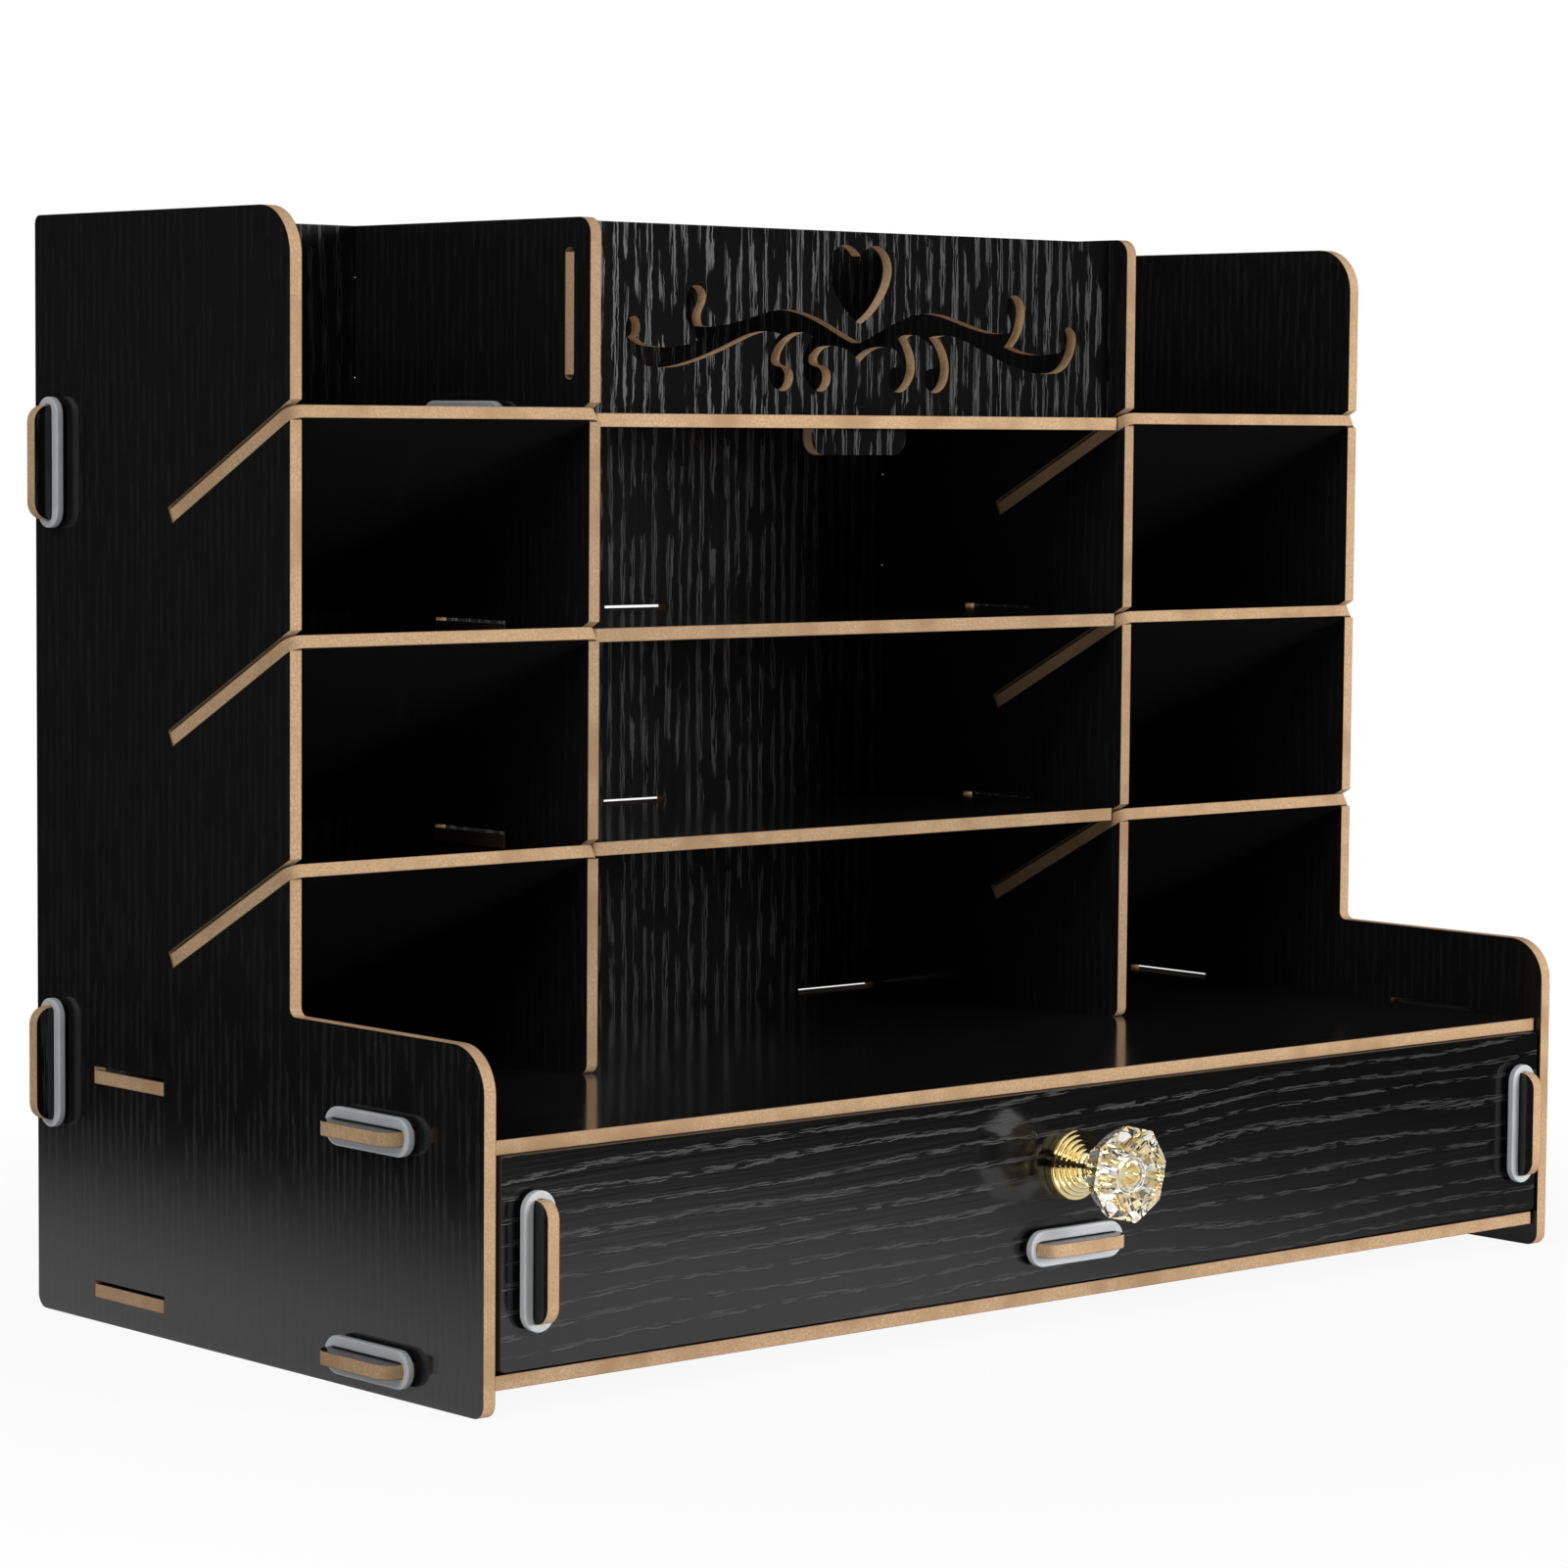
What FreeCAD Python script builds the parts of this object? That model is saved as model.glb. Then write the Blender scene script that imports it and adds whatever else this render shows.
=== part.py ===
import FreeCAD, Part
import math
import os

# Flat-pack desk organizer: slotted boards that hold each other by tabs and oval snap rings, and one drawer.
# While it is drawn, Y is 0 at the low front edges of the sides; the last section moves it to its own origin.
Vector = FreeCAD.Vector
parts_folder = "parts"
os.makedirs(parts_folder, exist_ok=True)

# Overall size and boards
board = 4.0
width = 433.0
depth = 213.0
height = 320.5
overrun = 1.0

# Sides: a low front, a step, and a tall rear part
tall_front = 86.6
step_height = 98.5
foot_round = 4.0
step_round = 13.0
step_inner_round = 2.5
top_round = 14.0
rear_round = 2.5

# Deck over the drawer, and the base board under it
deck_top = 73.6
deck_setback = 2.2
base_top = 11.0
base_setback = 1.9
board_corner_round = 1.5

# Back panel and dividers
back_recess = 13.8
back_bottom = 1.0
bay_half = 107.3
divider_top_round = 5.0
divider_foot_round = 3.0

# Sloping shelves in the two side bays
slope_angle = 27.5
slope_top_drop = 58.0
slope_deck_gap = 5.1
slope_count = 3
slope_proud = 1.2
slope_ear = 64.0
slope_play = 1.0
slope_end_play = 0.8
slope_rear_gap = 0.5
slope_corner_round = 4.0

# Level shelves in the middle bay
middle_lowest_rise = 66.9
middle_count = 3
middle_setback = 2.7
middle_corner_round = 1.5
middle_tab_setback = 55.4
middle_rear_tab = 25.0

# Tabs, their slots, and the oval rings that lock them
tab = 33.0
tab_reach = 9.2
tab_round = 5.0
flush_tab = 35.0
tab_play = 0.3
slot_headroom = 1.0
board_fit = 0.2
ring_end_wall = 2.4
ring_side_wall = 3.3
ring_thick = 2.2
ring_standoff = 1.5
ring_play = 0.4

# Places of the tabs on deck, base board, back panel and dividers
front_tab_centre = 46.6
rear_tab_inset = 33.8
back_tab_low = 74.0
back_tab_top_drop = 71.5
rear_deck_tab_centre = 88.0
divider_foot_tab_setback = 53.4
divider_foot_tab = 30.0
divider_rear_tab = 30.0
divider_rear_tab_shares = (.14, .633, .876)

# Ornament panel over the top middle shelf
ornament_setback = 7.3
ornament_height = 56.0
ornament_tab = 35.0
ornament_tab_share = .509
ornament_slot_play = 1.5
ornament_foot_tab = 38.5
ornament_foot_drop = 8.0
ornament_corner_round = 0.8
scroll_margin = 15.3
heart_half_width = 12.9
ornament_curve_error = 0.1

# Drawer
drawer_side_gap = 1.8
drawer_bottom_gap = 2.4
drawer_top_gap = 0.3
drawer_front_round = 1.5
drawer_front_lip = 8.3
drawer_headroom = 7.6
drawer_run_gap = 0.3
drawer_rear_gap = 6.2
drawer_back_inset = 8.0
drawer_floor_rise = 11.1
drawer_side_tab_drop = 0.25
drawer_tail_tab = 24.0
drawer_floor_tab_shares = (.31, .777)
drawer_lead_round = 8.0

# Knob: stepped rosette, faceted crystal bored for a stud, and screw
knob_lift = 5.85
rosette_radius = 10.3
rosette_rim = 2.6
rosette_step = 1.5
rosette_step_rise = 1.3
rosette_steps = 4
neck_radius = 3.6
neck_end = 12.6
neck_flare = 1.2
neck_flare_radius = 6.4
crystal_sides = 8
crystal_turn = -9.5
crystal_back_radius = 6.6
crystal_radius = 14.5
crystal_table_radius = 6.8
crystal_belt = 1.2
crystal_crown = 3.6
crystal_front = 28.8
crystal_bore_radius = 5.2
crystal_table_thick = 5.8
stud_radius = 4.0
stud_round = 0.6
stud_play = 0.2
screw_radius = 1.9
screw_reach = 6.0
screw_hole_play = 0.25
screw_head_radius = 3.8
screw_head_thick = 2.0
screw_head_round = 0.8

# Heights and faces that follow from the sizes above
half_width = width / 2
side_inner = half_width - board
deck_bottom = deck_top - board
base_bottom = base_top - board
back_front = depth - back_recess
back_rear = back_front + board
rear_tab_centre = back_front - rear_tab_inset
back_tab_heights = (back_tab_low, height - back_tab_top_drop)
divider_outer = bay_half + board
divider_foot_tab_centre = tall_front + divider_foot_tab_setback
divider_rear_tab_heights = [deck_top + share * (height - deck_top) for share in divider_rear_tab_shares]
ring_length = tab + 2 * ring_end_wall
ring_width = board + 2 * ring_side_wall
slot_height = board + slot_headroom
slot_width = board + tab_play

# The lowest sloping and middle shelves keep off the deck, the highest hang from the top, the rest lie between
slope_front = tall_front - slope_proud
slope = math.radians(slope_angle)
slope_length = (back_front - slope_front - board * math.sin(slope) - slope_rear_gap) / math.cos(slope)
slope_lowest = deck_top + slope_deck_gap + slope_length * math.sin(slope)
slope_spacing = (height - slope_top_drop - slope_lowest) / (slope_count - 1)
slope_heights = [slope_lowest + slope_spacing * n for n in range(slope_count)]
top_shelf = height - ornament_height
middle_lowest = deck_top + middle_lowest_rise
middle_spacing = (top_shelf - middle_lowest) / (middle_count - 1)
middle_tops = [middle_lowest + middle_spacing * n for n in range(middle_count)]
middle_front = tall_front + middle_setback
middle_tab_centre = tall_front + middle_tab_setback
ornament_front = tall_front + ornament_setback
ornament_tab_height = top_shelf + ornament_tab_share * ornament_height
scroll_reach = bay_half - scroll_margin

# The drawer takes its size from the space between base board, deck, sides and back panel
drawer_front_half = side_inner - drawer_side_gap
drawer_front_bottom = base_top + drawer_bottom_gap
drawer_front_top = deck_bottom - drawer_top_gap
drawer_front_middle = (drawer_front_bottom + drawer_front_top) / 2
drawer_side_face = drawer_front_half - drawer_front_lip
drawer_side_inner = drawer_side_face - board
drawer_side_bottom = base_top + drawer_run_gap
drawer_side_top = deck_bottom - drawer_headroom
drawer_side_tab_height = drawer_front_middle - drawer_side_tab_drop
drawer_floor_bottom = base_top + drawer_floor_rise
drawer_floor_top = drawer_floor_bottom + board
drawer_length = back_front - drawer_rear_gap
drawer_floor_tab_centres = [share * drawer_length for share in drawer_floor_tab_shares]
drawer_tail = drawer_length - drawer_back_inset - board
knob_height = drawer_front_middle + knob_lift
crystal_bore_end = crystal_front - crystal_table_thick

# Each board lies in one of three planes: its two outline directions, and the direction of its thickness
x_axis = Vector(1, 0, 0)
y_axis = Vector(0, 1, 0)
z_axis = Vector(0, 0, 1)
full_turn = 360
upright_side = (y_axis, z_axis, x_axis)
upright_front = (x_axis, z_axis, y_axis)
level = (x_axis, y_axis, z_axis)


def rounded_outline(corners, place):
    """Joins corners (u, v, radius) with straight runs and tangent arcs; place turns (u, v) into a point."""
    points = [place(u, v) for u, v, radius in corners]
    count = len(points)
    joins = []
    for n, (u, v, radius) in enumerate(corners):
        corner = points[n]
        back = (points[n - 1] - corner).normalize()
        ahead = (points[(n + 1) % count] - corner).normalize()
        if radius == 0:
            joins.append((corner, None, corner))
            continue
        half = back.getAngle(ahead) / 2
        run = radius / math.tan(half)
        inward = (back + ahead).normalize()
        middle = corner + inward * (radius / math.sin(half) - radius)
        joins.append((corner + back * run, middle, corner + ahead * run))
    edges = []
    for n, (start, middle, end) in enumerate(joins):
        if middle is not None:
            edges.append(Part.Arc(start, middle, end).toShape())
        edges.append(Part.LineSegment(end, joins[(n + 1) % count][0]).toShape())
    return Part.Wire(edges)


def plate(corners, plane, face, thick=board):
    """A board with a rounded outline, from its face at that distance, thick along the plane's third axis."""
    first, second, third = plane
    wire = rounded_outline(corners, lambda u, v: first * u + second * v + third * face)
    return Part.Face(wire).extrude(third * thick)


def rectangle(low_u, low_v, high_u, high_v, radius=0):
    """Corners of a rectangle, all with one radius."""
    return [(u, v, radius) for u, v in ((low_u, low_v), (high_u, low_v), (high_u, high_v), (low_u, high_v))]


def tab_plate(plane, face, edge, end, centre, breadth, along_first, radius):
    """A tab in a board's plane, from the board's edge to its own end, with its two outer corners rounded."""
    low, high = centre - breadth / 2, centre + breadth / 2
    corners = [(edge, low, 0), (end, low, radius), (end, high, radius), (edge, high, 0)]
    if not along_first:
        corners = [(v, u, r) for u, v, r in corners]
    return plate(corners, plane, face)


def slot(plane, face, low_u, low_v, high_u, high_v, radius=0):
    """A cutter for a slot right through a board."""
    return plate(rectangle(low_u, low_v, high_u, high_v, radius), plane, face - overrun, board + 2 * overrun)


def joined(body, additions):
    """One clean solid from a board and its tabs."""
    return body.fuse(additions).removeSplitter()


def mirrored(shape):
    """The same piece on the other hand."""
    return shape.mirror(Vector(), x_axis)


def ring(plane, centre_u, centre_v, face, outward, along_first):
    """An oval snap ring gripping a tab just off a board's face; outward is +1 or -1 along the third axis."""
    first, second, third = plane
    along, across = (first, second) if along_first else (second, first)
    centre = first * centre_u + second * centre_v + third * (face + outward * ring_standoff)
    tip, half = along * (ring_length / 2), across * (ring_width / 2)
    straight = along * (ring_length / 2 - ring_width / 2)
    edges = [Part.Arc(centre + straight + half, centre + tip, centre + straight - half).toShape(),
             Part.LineSegment(centre + straight - half, centre - straight - half).toShape(),
             Part.Arc(centre - straight - half, centre - tip, centre - straight + half).toShape(),
             Part.LineSegment(centre - straight + half, centre + straight + half).toShape()]
    tip, half = along * ((tab + ring_play) / 2), across * ((board + ring_play) / 2)
    corners = [centre + tip + half, centre + tip - half, centre - tip - half, centre - tip + half]
    hole = Part.makePolygon(corners + corners[:1])
    thick = third * (outward * ring_thick)
    return Part.Face(Part.Wire(edges)).extrude(thick).cut(Part.Face(hole).extrude(thick))


# Sloping shelves and their slots
def slope_point(front_height):
    """Turns a distance down the slope and a height over the shelf's underside into Y and Z."""
    def place(run, rise):
        return (slope_front + run * math.cos(slope) + rise * math.sin(slope),
                front_height - run * math.sin(slope) + rise * math.cos(slope))
    return place


def slope_slot(front_height, face):
    """A cutter, open at the front edge of an upright, that a sloping shelf slides into."""
    place = slope_point(front_height)
    mouth = -board - overrun
    end = slope_ear + slope_end_play
    top = board + slope_play
    corners = [place(run, rise) + (radius,) for run, rise, radius in rectangle(mouth, 0, end, top)]
    return plate(corners, upright_side, face - overrun, board + 2 * overrun)


def slope_shelf(front_height):
    """Left-hand shelf: two front ears reach through the uprights, the rear part fits between them."""
    outer, inner = -half_width, -bay_half
    near, far = outer + board + board_fit, inner - board - board_fit
    corners = [(outer, 0, slope_corner_round), (inner, 0, slope_corner_round), (inner, slope_ear, 0),
               (far, slope_ear, 0), (far, slope_length, 0), (near, slope_length, 0), (near, slope_ear, 0),
               (outer, slope_ear, 0)]
    y_zero, z_zero = slope_point(front_height)(0, 0)
    down = Vector(0, math.cos(slope), -math.sin(slope))
    wire = rounded_outline(corners, lambda x, run: Vector(x, y_zero, z_zero) + down * run)
    return Part.Face(wire).extrude(Vector(0, math.sin(slope), math.cos(slope)) * board)


# Uprights
def side_panel():
    """Left side: L-shaped, with three open sloping slots and six tab slots."""
    outline = [(0, 0, foot_round), (0, step_height, step_round), (tall_front, step_height, step_inner_round),
               (tall_front, height, top_round), (depth, height, rear_round), (depth, 0, foot_round)]
    face = -half_width
    cuts = [slope_slot(z, face) for z in slope_heights]
    for low in (deck_bottom, base_bottom):
        for centre, breadth in ((front_tab_centre, tab), (rear_tab_centre, flush_tab)):
            reach = breadth / 2 + tab_play
            cuts.append(slot(upright_side, face, centre - reach, low, centre + reach, low + slot_height))
    for centre in back_tab_heights:
        reach = tab / 2 + tab_play
        cuts.append(slot(upright_side, face, back_front, centre - reach,
                         back_front + slot_width, centre + reach))
    return plate(outline, upright_side, face).cut(cuts)


def divider():
    """Left divider: stands on the deck, slotted like the sides, with slots for the middle shelves' tabs."""
    face = -divider_outer
    outline = [(tall_front, deck_top, divider_foot_round), (tall_front, height, divider_top_round),
               (back_front, height, 0), (back_front, deck_top, 0)]
    foot = tab_plate(upright_side, face, deck_top, deck_bottom, divider_foot_tab_centre,
                     divider_foot_tab, False, 0)
    tails = [tab_plate(upright_side, face, back_front, back_rear, z, divider_rear_tab, True, 0)
             for z in divider_rear_tab_heights]
    cuts = [slope_slot(z, face) for z in slope_heights]
    for top in middle_tops:
        reach = tab / 2 + tab_play
        cuts.append(slot(upright_side, face, middle_tab_centre - reach, top - board,
                         middle_tab_centre + reach, top - board + slot_height))
    reach = ornament_tab / 2 + ornament_slot_play
    cuts.append(slot(upright_side, face, ornament_front, ornament_tab_height - reach,
                     ornament_front + slot_width, ornament_tab_height + reach, slot_width / 2 - tab_play / 2))
    return joined(plate(outline, upright_side, face), [foot] + tails).cut(cuts)


def back_panel():
    """Back: its side tabs lock into the sides, and it takes the rear tabs of the boards in front of it."""
    outline = rectangle(-side_inner, back_bottom, side_inner, height)
    tabs = []
    for hand in (-1, 1):
        for centre in back_tab_heights:
            tabs.append(tab_plate(upright_front, back_front, hand * side_inner,
                                  hand * (half_width + tab_reach), centre, tab, True, tab_round))
    cuts = []
    for hand in (-1, 1):
        for low in (deck_bottom, base_bottom):
            reach = tab / 2 + tab_play
            centre = hand * rear_deck_tab_centre
            cuts.append(slot(upright_front, back_front, centre - reach, low,
                             centre + reach, low + slot_height))
        for centre in divider_rear_tab_heights:
            reach = divider_rear_tab / 2 + tab_play
            near, far = sorted((hand * (bay_half - tab_play), hand * (divider_outer + tab_play)))
            cuts.append(slot(upright_front, back_front, near, centre - reach, far, centre + reach))
    for top in middle_tops:
        reach = middle_rear_tab / 2 + tab_play
        cuts.append(slot(upright_front, back_front, -reach, top - board, reach, top - board + slot_height))
    return joined(plate(outline, upright_front, back_front), tabs).cut(cuts)


# Level boards
def cross_board(top, setback):
    """Deck or base board: ringed front tabs and flush rear tabs in the sides, two flush tabs in the back."""
    low = top - board
    outline = [(-side_inner, setback, board_corner_round), (side_inner, setback, board_corner_round),
               (side_inner, back_front, 0), (-side_inner, back_front, 0)]
    tabs = []
    for hand in (-1, 1):
        edge = hand * side_inner
        tabs.append(tab_plate(level, low, edge, hand * (half_width + tab_reach), front_tab_centre, tab,
                              True, tab_round))
        tabs.append(tab_plate(level, low, edge, hand * half_width, rear_tab_centre, flush_tab, True, 0))
        tabs.append(tab_plate(level, low, back_front, back_rear, hand * rear_deck_tab_centre, tab, False, 0))
    return joined(plate(outline, level, low), tabs)


def deck():
    """Deck: the cross board with a slot for each divider's foot tab."""
    cuts = []
    reach = divider_foot_tab / 2 + tab_play
    for hand in (-1, 1):
        near, far = sorted((hand * (bay_half - tab_play), hand * (divider_outer + tab_play)))
        cuts.append(slot(level, deck_bottom, near, divider_foot_tab_centre - reach,
                         far, divider_foot_tab_centre + reach))
    return cross_board(deck_top, deck_setback).cut(cuts)


def middle_shelf(top, ringed):
    """Level shelf: a tab in each divider, ringed on the top shelf and flush on others, one in the back."""
    low = top - board
    edge = bay_half - board_fit
    outline = [(-edge, middle_front, middle_corner_round), (edge, middle_front, middle_corner_round),
               (edge, back_front, 0), (-edge, back_front, 0)]
    end, radius = (divider_outer + tab_reach, tab_round) if ringed else (divider_outer, 0)
    tabs = [tab_plate(level, low, back_front, back_rear, 0, middle_rear_tab, False, 0)]
    for hand in (-1, 1):
        tabs.append(tab_plate(level, low, hand * edge, hand * end, middle_tab_centre, tab,
                              True, radius))
    shelf = joined(plate(outline, level, low), tabs)
    if not ringed:
        return shelf
    reach = ornament_foot_tab / 2 + tab_play
    return shelf.cut(slot(level, low, -reach, ornament_front, reach, ornament_front + slot_width))


# Ornament panel: a heart over a mirrored scroll, both cut right through
# Points are shares of scroll_reach across and of the panel's height up; each row is one smooth stretch.
scroll_shares = [
    [(0, .39), (.10, .46), (.23, .54), (.34, .557), (.47, .515), (.59, .467), (.68, .46)],
    [(.68, .46), (.69, .515), (.668, .62), (.70, .672), (.745, .64), (.755, .565), (.737, .463), (.70, .386)],
    [(.70, .386), (.763, .355), (.85, .346), (.925, .364), (.958, .396)],
    [(.958, .396), (.941, .45), (.957, .50), (.993, .48), (1, .404), (.972, .305), (.89, .243)],
    [(.89, .243), (.81, .243), (.674, .292), (.51, .391), (.41, .44), (.35, .427)],
    [(.35, .427), (.389, .351), (.404, .254), (.384, .16), (.342, .124), (.297, .168), (.30, .24),
     (.325, .258)],
    [(.325, .258), (.352, .283), (.34, .348), (.284, .42), (.227, .434), (.21, .418)],
    [(.21, .418), (.237, .348), (.249, .26), (.225, .168), (.182, .124), (.136, .16), (.134, .24),
     (.161, .261)],
    [(.161, .261), (.189, .296), (.168, .346), (.111, .371), (.046, .342), (0, .285)]]
# Points are shares of heart_half_width across and of the panel's height up.
heart_shares = [[(0, .857), (.25, .90), (.56, .912), (.87, .87), (1, .79), (.86, .685), (.54, .58), (0, .49)]]


def mirrored_cutter(rows, reach):
    """A through cutter: its outline is given for one half, in smooth stretches, and mirrored across."""
    halves = []
    for hand in (1, -1):
        for row in rows:
            points = [Vector(hand * x * reach, ornament_front - overrun, top_shelf + z * ornament_height)
                      for x, z in row]
            curve = Part.BSplineCurve()
            curve.interpolate(points)
            halves += [arc.toShape() for arc in curve.toBiArcs(ornament_curve_error)]
    wire = Part.Wire(Part.sortEdges(halves)[0])
    return Part.Face(wire).extrude(y_axis * (board + 2 * overrun))


def ornament_panel():
    """Panel on the top shelf: end tabs flush in the dividers, a foot tab hanging through the shelf."""
    edge = bay_half - board_fit
    outline = rectangle(-edge, top_shelf, edge, height - ornament_corner_round, ornament_corner_round)
    foot_end = top_shelf - board - ornament_foot_drop
    tabs = [tab_plate(upright_front, ornament_front, top_shelf, foot_end, 0, ornament_foot_tab,
                      False, tab_round)]
    for hand in (-1, 1):
        tabs.append(tab_plate(upright_front, ornament_front, hand * edge, hand * divider_outer,
                              ornament_tab_height, ornament_tab, True, 0))
    cuts = [mirrored_cutter(scroll_shares, scroll_reach), mirrored_cutter(heart_shares, heart_half_width)]
    return joined(plate(outline, upright_front, ornament_front), tabs).cut(cuts)


# Drawer boards
def drawer_front():
    """Drawer front with slots for the two sides and the floor, and the knob's screw hole."""
    face = rectangle(-drawer_front_half, drawer_front_bottom, drawer_front_half, drawer_front_top,
                     drawer_front_round)
    cuts = []
    reach = tab / 2 + tab_play
    for hand in (-1, 1):
        near, far = sorted((hand * (drawer_side_inner - tab_play / 2),
                            hand * (drawer_side_face + tab_play / 2)))
        cuts.append(slot(upright_front, 0, near, drawer_side_tab_height - reach,
                         far, drawer_side_tab_height + reach))
    cuts.append(slot(upright_front, 0, -reach, drawer_floor_bottom - tab_play / 2,
                     reach, drawer_floor_top + tab_play / 2))
    hole = Part.makeCylinder(screw_radius + screw_hole_play, board + 2 * overrun,
                             Vector(0, -overrun, knob_height), y_axis)
    return plate(face, upright_front, 0).cut(cuts + [hole])


def drawer_side():
    """Left drawer side: a ringed tab through the front, slots for the floor and the drawer's back."""
    face = -drawer_side_face
    outline = [(board, drawer_side_bottom, drawer_lead_round),
               (drawer_length, drawer_side_bottom, 0), (drawer_length, drawer_side_top, 0),
               (board, drawer_side_top, 0)]
    lock = tab_plate(upright_side, face, board, -tab_reach, drawer_side_tab_height, tab, True, tab_round)
    cuts = []
    reach = drawer_tail_tab / 2 + tab_play
    for centre in drawer_floor_tab_centres:
        cuts.append(slot(upright_side, face, centre - reach, drawer_floor_bottom,
                         centre + reach, drawer_floor_top + tab_play))
    cuts.append(slot(upright_side, face, drawer_tail, drawer_side_tab_height - reach,
                     drawer_tail + slot_width, drawer_side_tab_height + reach))
    return joined(plate(outline, upright_side, face), [lock]).cut(cuts)


def drawer_floor():
    """Drawer floor: a ringed tab through the front and flush tabs through the drawer's sides."""
    edge = drawer_side_inner - board_fit
    outline = rectangle(-edge, board, edge, drawer_length - drawer_back_inset)
    low = drawer_floor_bottom
    tabs = [tab_plate(level, low, board, -tab_reach, 0, tab, False, tab_round)]
    for hand in (-1, 1):
        for centre in drawer_floor_tab_centres:
            tabs.append(tab_plate(level, low, hand * edge, hand * drawer_side_face, centre,
                                  drawer_tail_tab, True, 0))
    return joined(plate(outline, level, low), tabs)


def drawer_back():
    """Drawer back: stands on the floor between the sides, one flush tab through each."""
    edge = drawer_side_inner - board_fit
    outline = rectangle(-edge, drawer_floor_top, edge, drawer_side_top)
    tabs = [tab_plate(upright_front, drawer_tail, hand * edge, hand * drawer_side_face,
                      drawer_side_tab_height, drawer_tail_tab, True, 0) for hand in (-1, 1)]
    return joined(plate(outline, upright_front, drawer_tail), tabs)


# Knob
def knob_axis_revolve(profile):
    """Turns a profile of (radius, distance in front of the drawer) about the knob's axis."""
    points = [Vector(radius, -out, knob_height) for radius, out in profile]
    face = Part.Face(Part.makePolygon(points + points[:1]))
    return face.revolve(Vector(0, 0, knob_height), y_axis, full_turn)


def knob_rosette():
    """Beehive rosette: a straight rim, steps that shrink towards a neck, and a bore for the screw."""
    bore = screw_radius + screw_hole_play
    profile = [(bore, 0), (rosette_radius, 0)]
    for n in range(rosette_steps):
        radius = rosette_radius - rosette_step * n
        top = rosette_rim + rosette_step_rise * (n + 1)
        profile += [(radius, top), (radius - rosette_step, top)]
    neck_start = rosette_rim + rosette_step_rise * rosette_steps
    profile[-1] = (neck_radius, neck_start)
    profile += [(neck_radius, neck_end - neck_flare), (neck_flare_radius, neck_end), (0, neck_end),
                (0, screw_reach + screw_hole_play), (bore, screw_reach + screw_hole_play)]
    return knob_axis_revolve(profile)


def knob_crystal():
    """Faceted crystal: long rear facets, a narrow belt, crown facets, a flat table and a stud bore."""
    belt_back = crystal_front - crystal_crown - crystal_belt
    belt_front = crystal_front - crystal_crown
    rings_of_corners = [(crystal_back_radius, neck_end), (crystal_radius, belt_back),
                        (crystal_radius, belt_front), (crystal_table_radius, crystal_front)]
    loops = []
    for radius, out in rings_of_corners:
        turns = [2 * math.pi * n / crystal_sides + math.radians(crystal_turn) for n in range(crystal_sides)]
        loops.append([Vector(radius * math.sin(a), -out, knob_height + radius * math.cos(a)) for a in turns])
    outlines = [loops[0], loops[-1]]
    for near, far in zip(loops, loops[1:]):
        for n in range(crystal_sides):
            outlines.append([near[n - 1], near[n], far[n], far[n - 1]])
    facets = [Part.Face(Part.makePolygon(outline + outline[:1])) for outline in outlines]
    body = Part.makeSolid(Part.makeShell(facets))
    bore_floor = Vector(0, -crystal_bore_end, knob_height)
    bore = Part.makeCylinder(crystal_bore_radius, crystal_bore_end - neck_end + overrun, bore_floor, y_axis)
    return body.cut(bore)


def knob_stud():
    """Gold stud on the rosette's neck, standing in the crystal's bore."""
    end = crystal_bore_end - stud_play
    return knob_axis_revolve([(0, neck_end), (stud_radius, neck_end), (stud_radius, end - stud_round),
                              (stud_radius - stud_round, end), (0, end)])


def knob_screw():
    """Pan-head screw from inside the drawer into the rosette."""
    head = -board - screw_head_thick
    return knob_axis_revolve([(0, head), (screw_head_radius - screw_head_round, head),
                              (screw_head_radius, head + screw_head_round), (screw_head_radius, -board),
                              (screw_radius, -board), (screw_radius, screw_reach), (0, screw_reach)])


# Rings on the ends of the tabs
def side_rings():
    """Rings on the left side: two on the back panel's tabs, one on each front tab of deck and base board."""
    back_centre = back_front + board / 2
    rings = [ring(upright_side, back_centre, z, -half_width, -1, False) for z in back_tab_heights]
    for low in (deck_bottom, base_bottom):
        rings.append(ring(upright_side, front_tab_centre, low + board / 2, -half_width, -1, True))
    return Part.makeCompound(rings)


def divider_rings():
    """Rings on the top middle shelf's tabs, outside the dividers."""
    left = ring(upright_side, middle_tab_centre, top_shelf - board / 2, -divider_outer, -1, True)
    return Part.makeCompound([left, mirrored(left)])


def drawer_rings():
    """Rings on the drawer front: two upright on the sides' tabs, one level on the floor's tab."""
    centre = drawer_side_face - board / 2
    left = ring(upright_front, -centre, drawer_side_tab_height, 0, -1, False)
    floor = ring(upright_front, 0, drawer_floor_bottom + board / 2, 0, -1, True)
    return Part.makeCompound([left, mirrored(left), floor])


# Pieces by name
pieces = {
    "side_left": side_panel(), "divider_left": divider(), "rings_left_side": side_rings(),
    "back_panel": back_panel(), "deck": deck(), "base_board": cross_board(base_top, base_setback),
    "ornament_panel": ornament_panel(), "rings_dividers": divider_rings(),
    "drawer_front": drawer_front(), "drawer_side_left": drawer_side(), "drawer_floor": drawer_floor(),
    "drawer_back": drawer_back(), "rings_drawer": drawer_rings(), "knob_rosette": knob_rosette(),
    "knob_crystal": knob_crystal(), "knob_stud": knob_stud(), "knob_screw": knob_screw()}
for name in ("side_left", "divider_left", "rings_left_side", "drawer_side_left"):
    pieces[name.replace("left", "right")] = mirrored(pieces[name])
for n, z in enumerate(slope_heights):
    pieces["slope_shelf_left_%d" % (n + 1)] = slope_shelf(z)
    pieces["slope_shelf_right_%d" % (n + 1)] = mirrored(slope_shelf(z))
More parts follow.
